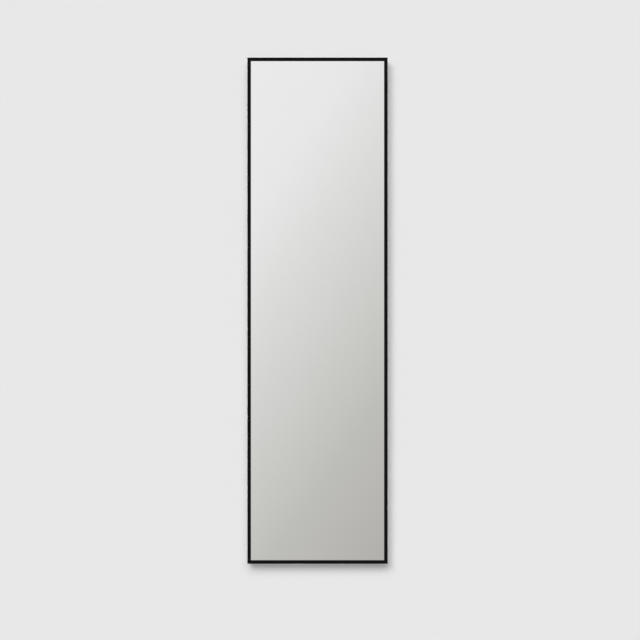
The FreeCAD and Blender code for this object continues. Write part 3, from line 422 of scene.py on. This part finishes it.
film_white, tree, shader = finish_for("woven_safety_film")
threads = use(tree, crossed, Scale=140.0, Waviness=0.6, Detail=2.0)["Higher"]
drive(tree, shader, Base_Color=mixed(tree, threads, (0.50, 0.53, 0.55), (0.72, 0.74, 0.75)),
      Roughness=ramp(tree, threads, 0.0, 1.0, 0.28, 0.5))
relief(tree, shader, threads, depth=0.00005)
dress(film_white, "safety_film")

CELLS_PER_METRE = 2400.0
CELL_MIDDLE, CELL_WALL = 0.1, 0.7
foam_tones = (0.80, 0.80, 0.78), (0.62, 0.62, 0.60)

foam, tree, shader = finish_for("white_foam_tape")
cells = put(tree, "TexVoronoi", {"feature": "SMOOTH_F1"}, {
    "Vector": put(tree, "TexCoord").outputs["Object"], "Scale": CELLS_PER_METRE}).outputs["Distance"]
drive(tree, shader, Base_Color=mixed(tree, ramp(tree, cells, CELL_MIDDLE, CELL_WALL), *foam_tones),
      Roughness=ramp(tree, cells, CELL_MIDDLE, CELL_WALL, 0.72, 0.92))
relief(tree, shader, cells, depth=0.00012)
dress(foam, "bonding_tape")

FIBRES_PER_METRE = 1500.0
FIBRE_STRETCH = (1.0, 1.0, 0.35)
PULP, FIBRE = 0.42, 0.68                # the noise between fibres and on them
RAISED, PRESSED = 0.35, 0.0             # the mesh print on its dots and between them
MOST_DARKENED = 0.5
FIBRES_TO_PRINT = 0.5                   # how high fibres stand against the print
board_tones = (0.155, 0.088, 0.045), (0.215, 0.130, 0.070)
fibre_tone, pressed_tone = (0.30, 0.195, 0.115), (0.085, 0.048, 0.025)

hardboard, tree, shader = finish_for("hardboard_back")
skin = use(tree, grain, Pebbles_per_metre=420.0, Blotches_per_metre=9.0)
mesh_print = use(tree, crossed, Scale=165.0, Waviness=0.5, Detail=1.0)["Product"]
spot = scaled(tree, put(tree, "TexCoord").outputs["Object"], FIBRE_STRETCH)
fibres = noise(tree, spot, FIBRES_PER_METRE, detail=5.0, roughness=0.75)
colour = mixed(tree, spread(tree, skin["Blotch"]), *board_tones)
colour = mixed(tree, ramp(tree, fibres, PULP, FIBRE), colour, fibre_tone)
colour = mixed(tree, ramp(tree, mesh_print, RAISED, PRESSED, 0.0, MOST_DARKENED), colour, pressed_tone)
drive(tree, shader, Base_Color=colour, Roughness=spread(tree, skin["Height"], 0.62, 0.82))
height = math_node(tree, "MULTIPLY_ADD", fibres, FIBRES_TO_PRINT, mesh_print)
relief(tree, shader, height, depth=0.00012)
dress(hardboard, "backing_board")


# ---------------------------------------------------------------- the studio
# A plain pale wall behind the mirror and a plain pale floor. Each shows only on its face, so that
# a camera behind the wall or below the floor still sees the whole fitting.

PALE = (0.807, 0.807, 0.807)
WALL_GAP = 0.0006                       # between the rails and the wall
WALL_HALF_WIDTH, WALL_TOP = 4.0, 3.0
WALL_WHOLE, WALL_GONE = 1.3, 2.6        # how far from the mirror the wall starts and ends to fade out
FLOOR_LEVEL, FLOOR_HALF_WIDTH = -1.0, 12.0
SKIRTING = 0.02                         # from the floor up to the wall
EVEN_FLOOR = 5.0                        # how far away the floor shows no shade
LEAST_GLOW = 0.6                        # of the floor's own light, under the mirror

scene = bpy.context.scene


def backdrop(name, corners):
    """A flat stage piece from its four corners, with a new paint: the piece, and the paint's tree."""
    mesh = bpy.data.meshes.new(name)
    mesh.from_pydata(corners, [], [(0, 1, 2, 3)])
    made = bpy.data.objects.new(name, mesh)
    scene.collection.objects.link(made)
    paint, tree, _ = finish_for(f"{name}_paint")
    mesh.materials.append(paint)
    return made, tree


def distance(tree):
    """How far a point is from the middle of the mirror."""
    return put(tree, "VectorMath", {"operation": "LENGTH"}, {
        0: put(tree, "TexCoord").outputs["Object"]}).outputs["Value"]


def show(tree, surface, gone):
    """Shows a surface, and nothing where gone is 1."""
    nothing = put(tree, "BsdfTransparent").outputs["BSDF"]
    shown = put(tree, "MixShader", (), {0: gone, 1: surface, 2: nothing}).outputs["Shader"]
    tree.links.new(shown, tree.nodes["Material Output"].inputs["Surface"])


foot = FLOOR_LEVEL + SKIRTING
wall, tree = backdrop("wall", [
    (-WALL_HALF_WIDTH, WALL_GAP, foot), (WALL_HALF_WIDTH, WALL_GAP, foot),
    (WALL_HALF_WIDTH, WALL_GAP, WALL_TOP), (-WALL_HALF_WIDTH, WALL_GAP, WALL_TOP)])
for seen_by in ("diffuse", "glossy", "transmission", "shadow", "volume_scatter"):
    setattr(wall, f"visible_{seen_by}", False)
matt = put(tree, "BsdfDiffuse", (), {"Color": (*PALE, 1.0)}).outputs["BSDF"]
rear = put(tree, "NewGeometry").outputs["Backfacing"]
show(tree, matt, math_node(tree, "MAXIMUM", rear, ramp(tree, distance(tree), WALL_WHOLE, WALL_GONE)))

floor, tree = backdrop("floor", [
    (-FLOOR_HALF_WIDTH, -FLOOR_HALF_WIDTH, FLOOR_LEVEL), (FLOOR_HALF_WIDTH, -FLOOR_HALF_WIDTH, FLOOR_LEVEL),
    (FLOOR_HALF_WIDTH, FLOOR_HALF_WIDTH, FLOOR_LEVEL), (-FLOOR_HALF_WIDTH, FLOOR_HALF_WIDTH, FLOOR_LEVEL)])
floor.visible_glossy = floor.visible_diffuse = False
matt = put(tree, "BsdfDiffuse", (), {"Color": (*PALE, 1.0)}).outputs["BSDF"]
glow = put(tree, "Emission", (), {"Color": (*PALE, 1.0), "Strength": 1.0}).outputs["Emission"]
share = ramp(tree, distance(tree), 0.0, EVEN_FLOOR, LEAST_GLOW, 1.0)
even = put(tree, "MixShader", (), {0: share, 1: matt, 2: glow}).outputs["Shader"]
show(tree, even, put(tree, "NewGeometry").outputs["Backfacing"])


# Lamps: a soft main light from the upper left, a broader one from above and a sharp fill from the
# front, and behind the wall two that light the back of the carriage.

def sun(name, towards, level, spread_angle, glints=True):
    """A distant lamp. Towards points to it, and level is the share of white that a facing surface gets."""
    light = bpy.data.lights.new(name, "SUN")
    light.energy = level * math.pi
    light.angle = math.radians(spread_angle)
    lamp = bpy.data.objects.new(name, light)
    lamp.rotation_mode = "QUATERNION"
    lamp.rotation_quaternion = Vector(towards).to_track_quat("Z", "Y")
    lamp.visible_glossy = glints
    scene.collection.objects.link(lamp)


sun("main_light", towards=(-0.32, -1.0, 0.43), level=0.328, spread_angle=24.0, glints=False)
sun("top_light", towards=(0.01, -1.0, 0.48), level=0.372, spread_angle=42.0, glints=False)
sun("front_fill", towards=(0.01, -1.0, 0.06), level=0.326, spread_angle=2.0, glints=False)
sun("rear_light", towards=(0.42, 0.62, 0.66), level=0.62, spread_angle=50.0)
sun("rear_fill", towards=(-0.65, 0.72, 0.30), level=0.45, spread_angle=50.0)

# The world: pale to the camera, a little even light on matt surfaces, and in reflections a room
# that falls from bright at the upper left to grey at the lower right. Straight ahead of the glass
# the fall is steep, as from a window close by, and further round it is slow.
ROUND_LIGHT = (0.05, 0.05, 0.05)
REACH = 0.16                            # how far off the straight line the near fall ends
NEAR_FALL = (1.45, 0.0, -1.0)           # the way it goes
FAR_FALL = (0.15, 0.0, -1.0)
STRAIGHT, ASIDE = 0.991, 0.955          # how straight ahead the near fall shows alone, and not at all
BRIGHT_WALL, SHADED_WALL = (0.92, 0.92, 0.925), (0.40, 0.395, 0.385)
ROOM_FLOOR, ROOM_CEILING = (0.74, 0.74, 0.73), (0.55, 0.55, 0.56)

world = bpy.data.worlds.new("studio")
world.use_nodes = True
scene.world = world
tree = world.node_tree
direction = put(tree, "TexCoord").outputs["Generated"]

place = math_node(tree, "MULTIPLY_ADD", along(tree, direction, NEAR_FALL), 0.5 / REACH, 0.5)
near = put(tree, "ValToRGB", (), {"Fac": place})
stops = near.color_ramp.elements
stops[0].position, stops[0].color = 0.06, (0.90, 0.90, 0.90, 1.0)
stops[1].position, stops[1].color = 0.90, (0.50, 0.48, 0.46, 1.0)
stops.new(0.24).color = (0.88, 0.875, 0.88, 1.0)
stops.new(0.71).color = (0.565, 0.56, 0.535, 1.0)

slope = along(tree, direction, FAR_FALL)
far = mixed(tree, ramp(tree, slope, -0.05, 0.48), BRIGHT_WALL, SHADED_WALL)
far = mixed(tree, ramp(tree, slope, 0.55, 1.05), far, ROOM_FLOOR)
far = mixed(tree, ramp(tree, slope, -0.08, -0.60), far, ROOM_CEILING)
ahead = along(tree, direction, (0.0, -1.0, 0.0))
tones = mixed(tree, ramp(tree, ahead, STRAIGHT, ASIDE), near.outputs["Color"], far)

path = put(tree, "LightPath").outputs
mirrored = math_node(tree, "MAXIMUM", path["Is Glossy Ray"], path["Is Transmission Ray"])
seen = mixed(tree, path["Is Camera Ray"], mixed(tree, mirrored, ROUND_LIGHT, tones), PALE)
tree.links.new(seen, tree.nodes["Background"].inputs["Color"])

# Camera: square on to the glass, far off, so that the frame shows its face alone.
SENSOR = 36.0                           # millimetres wide
STAND_OFF = 6.0                         # from the side panel
MIRROR_SHARE = 0.791                    # of the view's height that the mirror fills
RIGHT_OF_MIDDLE, ABOVE_MIDDLE = 0.006, -0.0225      # where it aims, from the mirror's middle

low, high = cad_box
camera = bpy.data.objects.new("camera", bpy.data.cameras.new("camera"))
camera.location = (RIGHT_OF_MIDDLE, -STAND_OFF, ABOVE_MIDDLE)
camera.rotation_euler = (math.radians(90), 0.0, 0.0)
camera.data.sensor_width = SENSOR
camera.data.lens = SENSOR * (STAND_OFF + low[1]) * MIRROR_SHARE / (high[2] - low[2])
camera.data.clip_start, camera.data.clip_end = 0.1, 60.0
scene.collection.objects.link(camera)
scene.camera = camera
scene.view_settings.view_transform = "Standard"
